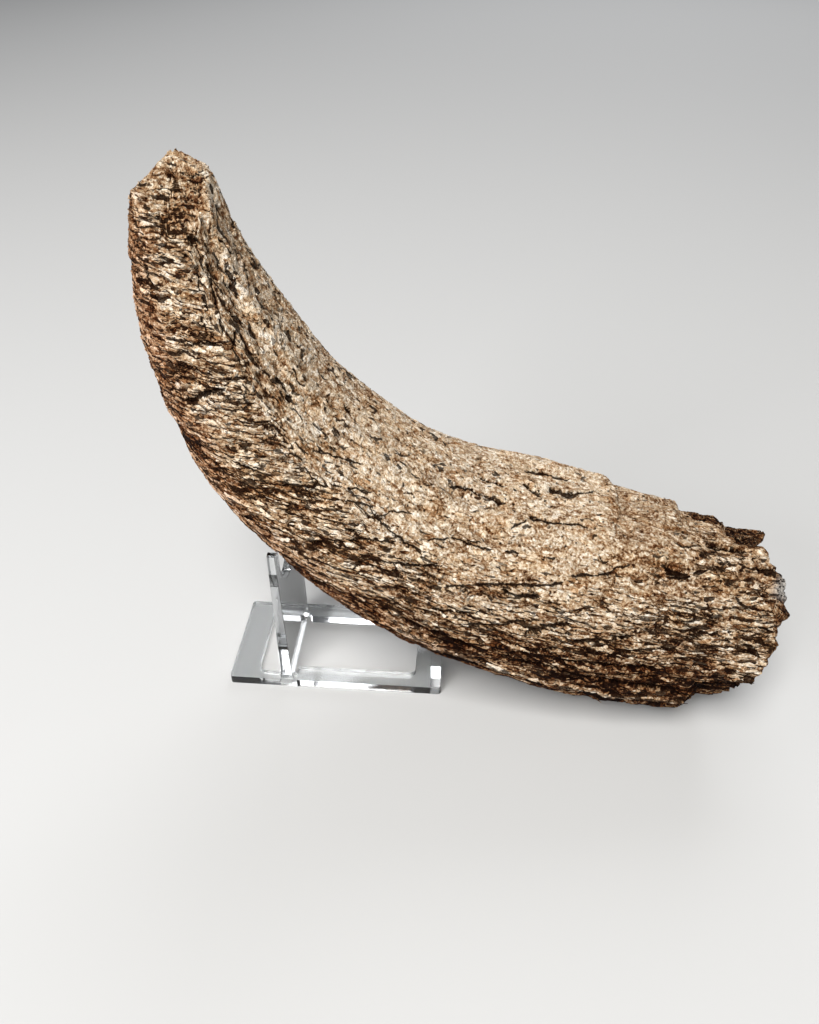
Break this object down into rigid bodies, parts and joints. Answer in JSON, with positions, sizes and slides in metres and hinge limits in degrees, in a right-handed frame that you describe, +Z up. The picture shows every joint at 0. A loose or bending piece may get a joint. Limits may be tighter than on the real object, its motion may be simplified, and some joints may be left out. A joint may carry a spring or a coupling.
{
  "type": "fossil bison horn core on display stand",
  "caption": "Fossil bison horn core, a curved tapering bone with a broken hollow base and tip, leaning on a clear plastic cradle stand.",
  "frame": {"origin": "on the table, under the middle of the whole object's bounding box", "axes": "+Z up; +X along the stand's long side towards the horn's broken base, with the tip rising at -X; +Y towards the stand's far long side, so that -Y faces the viewer"},
  "size_m": [0.2634, 0.1007, 0.237],
  "materials": {
    "fossil_bone": "dry weathered mineralised bone, tan to dark brown, grooved along its fibres",
    "clear_plastic": "clear colourless acrylic with polished edges"
  },
  "bodies": {
    "root": {"horn_core": "fossil_bone", "stand_base": "clear_plastic", "stand_cradle": "clear_plastic"}
  },
  "joints": []
}
